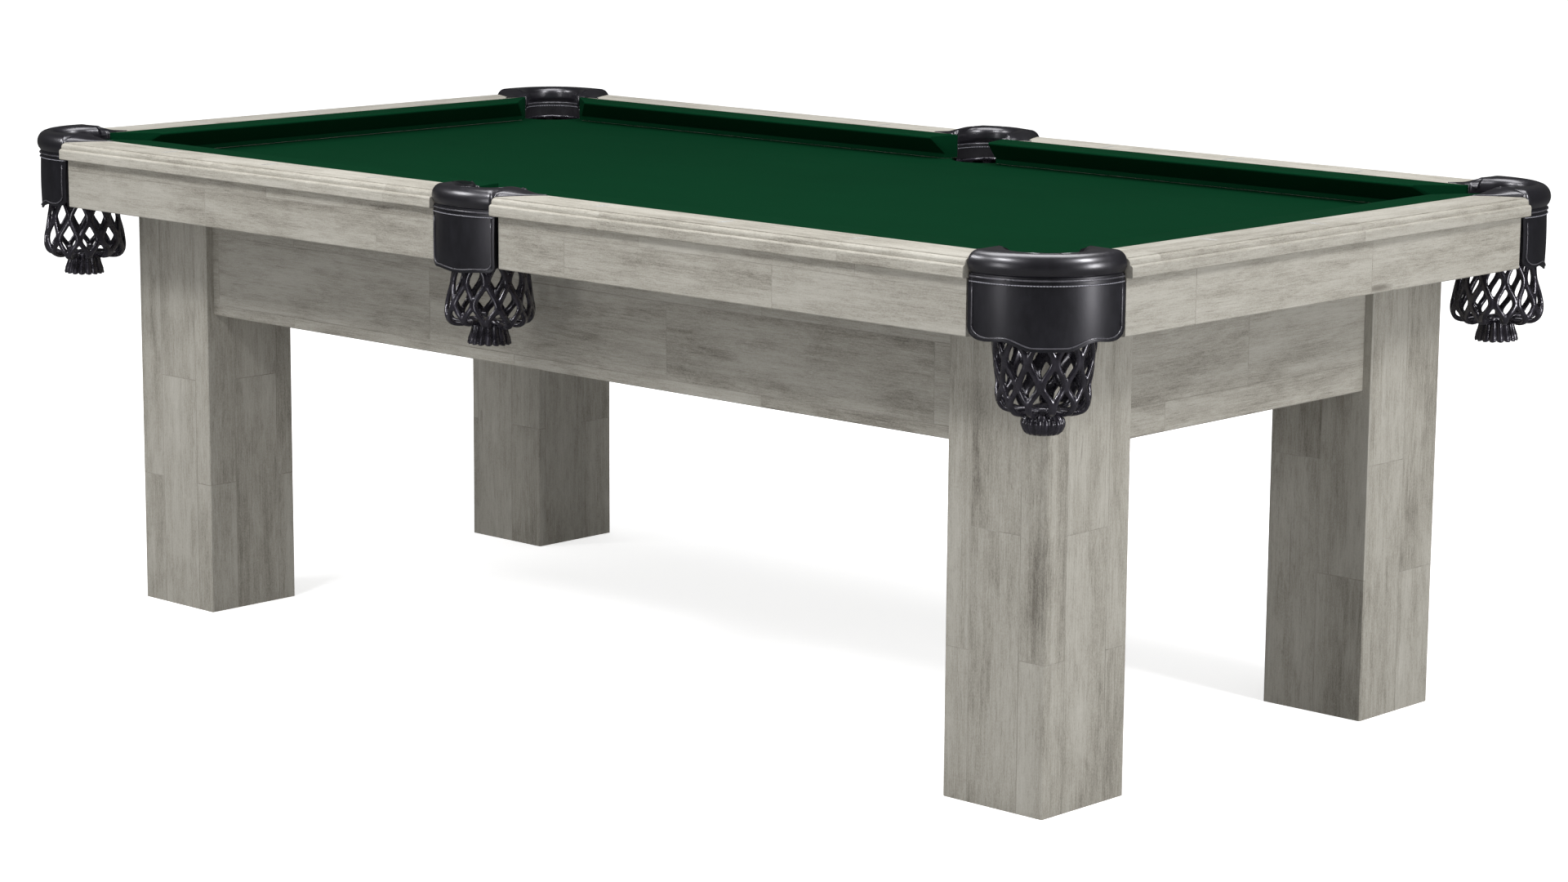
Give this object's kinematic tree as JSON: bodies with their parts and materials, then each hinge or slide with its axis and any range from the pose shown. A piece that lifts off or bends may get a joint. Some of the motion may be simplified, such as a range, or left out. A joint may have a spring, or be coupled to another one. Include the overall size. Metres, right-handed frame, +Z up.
{
  "type": "pool table",
  "caption": "Drop-pocket pool table with a cloth-covered slate bed, padded leather pockets with hanging nets, weathered wooden rails and square legs.",
  "frame": {"origin": "floor level under the middle of the table", "axes": "+X along the table's length, +Y across it towards the back, +Z up"},
  "size_m": [2.2572, 1.288, 0.799],
  "materials": {
    "weathered_wood": "satin silver-grey weathered",
    "raw_pine": "sawn",
    "zinc_steel": "zinc plated",
    "slate_stone": "honed",
    "green_cloth": "worsted wool",
    "cushion_rubber": "matte",
    "pearl_sight": "pearl",
    "black_leather": "glossy",
    "black_webbing": "glossy moulded webbing",
    "cast_iron": "as cast",
    "brass": "turned",
    "foot_plastic": "moulded"
  },
  "bodies": {
    "table": {"leg_front_left": "weathered_wood", "leg_front_right": "weathered_wood", "leg_back_left": "weathered_wood", "leg_back_right": "weathered_wood", "frame_side_front": "weathered_wood", "frame_side_back": "weathered_wood", "frame_end_left": "weathered_wood", "frame_end_right": "weathered_wood", "cross_beams": "raw_pine", "corner_blocks": "raw_pine", "leg_bolts": "zinc_steel", "frame_screws": "zinc_steel", "slate_left": "slate_stone", "slate_middle": "slate_stone", "slate_right": "slate_stone", "slate_liners": "raw_pine", "slate_screws": "zinc_steel", "bed_cloth": "green_cloth", "rail_front_left": "weathered_wood", "rail_front_right": "weathered_wood", "rail_back_left": "weathered_wood", "rail_back_right": "weathered_wood", "rail_end_left": "weathered_wood", "rail_end_right": "weathered_wood", "rail_cloths": "green_cloth", "cushion_rubbers": "cushion_rubber", "cushion_facings": "cushion_rubber", "rail_bolts": "zinc_steel", "sights": "pearl_sight", "apron_front_left": "weathered_wood", "apron_front_right": "weathered_wood", "apron_back_left": "weathered_wood", "apron_back_right": "weathered_wood", "apron_end_left": "weathered_wood", "apron_end_right": "weathered_wood", "apron_cleats": "raw_pine", "cleat_screws": "zinc_steel", "pocket_leather_front_left": "black_leather", "pocket_leather_front_right": "black_leather", "pocket_leather_back_left": "black_leather", "pocket_leather_back_right": "black_leather", "pocket_leather_side_front": "black_leather", "pocket_leather_side_back": "black_leather", "pocket_irons": "cast_iron", "pocket_iron_bolts": "zinc_steel", "pocket_net_front_left": "black_webbing", "pocket_net_front_right": "black_webbing", "pocket_net_back_left": "black_webbing", "pocket_net_back_right": "black_webbing", "pocket_net_side_front": "black_webbing", "pocket_net_side_back": "black_webbing", "leveller_inserts": "brass"},
    "foot_front_left": {"leveller_pad_front_left": "foot_plastic"},
    "stud_front_left": {"leveller_stud_front_left": "zinc_steel"},
    "foot_front_right": {"leveller_pad_front_right": "foot_plastic"},
    "stud_front_right": {"leveller_stud_front_right": "zinc_steel"},
    "foot_back_left": {"leveller_pad_back_left": "foot_plastic"},
    "stud_back_left": {"leveller_stud_back_left": "zinc_steel"},
    "foot_back_right": {"leveller_pad_back_right": "foot_plastic"},
    "stud_back_right": {"leveller_stud_back_right": "zinc_steel"}
  },
  "joints": [
    {"name": "foot_drop_front_left", "type": "slide", "parent": "table", "child": "foot_front_left", "axis": [0, 0, -1], "range_m": [0, 0.015]},
    {"name": "stud_turn_front_left", "type": "hinge", "parent": "foot_front_left", "child": "stud_front_left", "pos_m": [-0.896, -0.376, 0.04], "axis": [0, 0, -1], "range_deg": [0, 3600]},
    {"name": "foot_drop_front_right", "type": "slide", "parent": "table", "child": "foot_front_right", "axis": [0, 0, -1], "range_m": [0, 0.015]},
    {"name": "stud_turn_front_right", "type": "hinge", "parent": "foot_front_right", "child": "stud_front_right", "pos_m": [0.896, -0.376, 0.04], "axis": [0, 0, -1], "range_deg": [0, 3600]},
    {"name": "foot_drop_back_left", "type": "slide", "parent": "table", "child": "foot_back_left", "axis": [0, 0, -1], "range_m": [0, 0.015]},
    {"name": "stud_turn_back_left", "type": "hinge", "parent": "foot_back_left", "child": "stud_back_left", "pos_m": [-0.896, 0.376, 0.04], "axis": [0, 0, -1], "range_deg": [0, 3600]},
    {"name": "foot_drop_back_right", "type": "slide", "parent": "table", "child": "foot_back_right", "axis": [0, 0, -1], "range_m": [0, 0.015]},
    {"name": "stud_turn_back_right", "type": "hinge", "parent": "foot_back_right", "child": "stud_back_right", "pos_m": [0.896, 0.376, 0.04], "axis": [0, 0, -1], "range_deg": [0, 3600]}
  ],
  "couplings": [
    {"joint": "stud_turn_front_left", "follows": "foot_drop_front_left", "rad_per_m": 4188.8},
    {"joint": "stud_turn_front_right", "follows": "foot_drop_front_right", "rad_per_m": 4188.8},
    {"joint": "stud_turn_back_left", "follows": "foot_drop_back_left", "rad_per_m": 4188.8},
    {"joint": "stud_turn_back_right", "follows": "foot_drop_back_right", "rad_per_m": 4188.8}
  ]
}
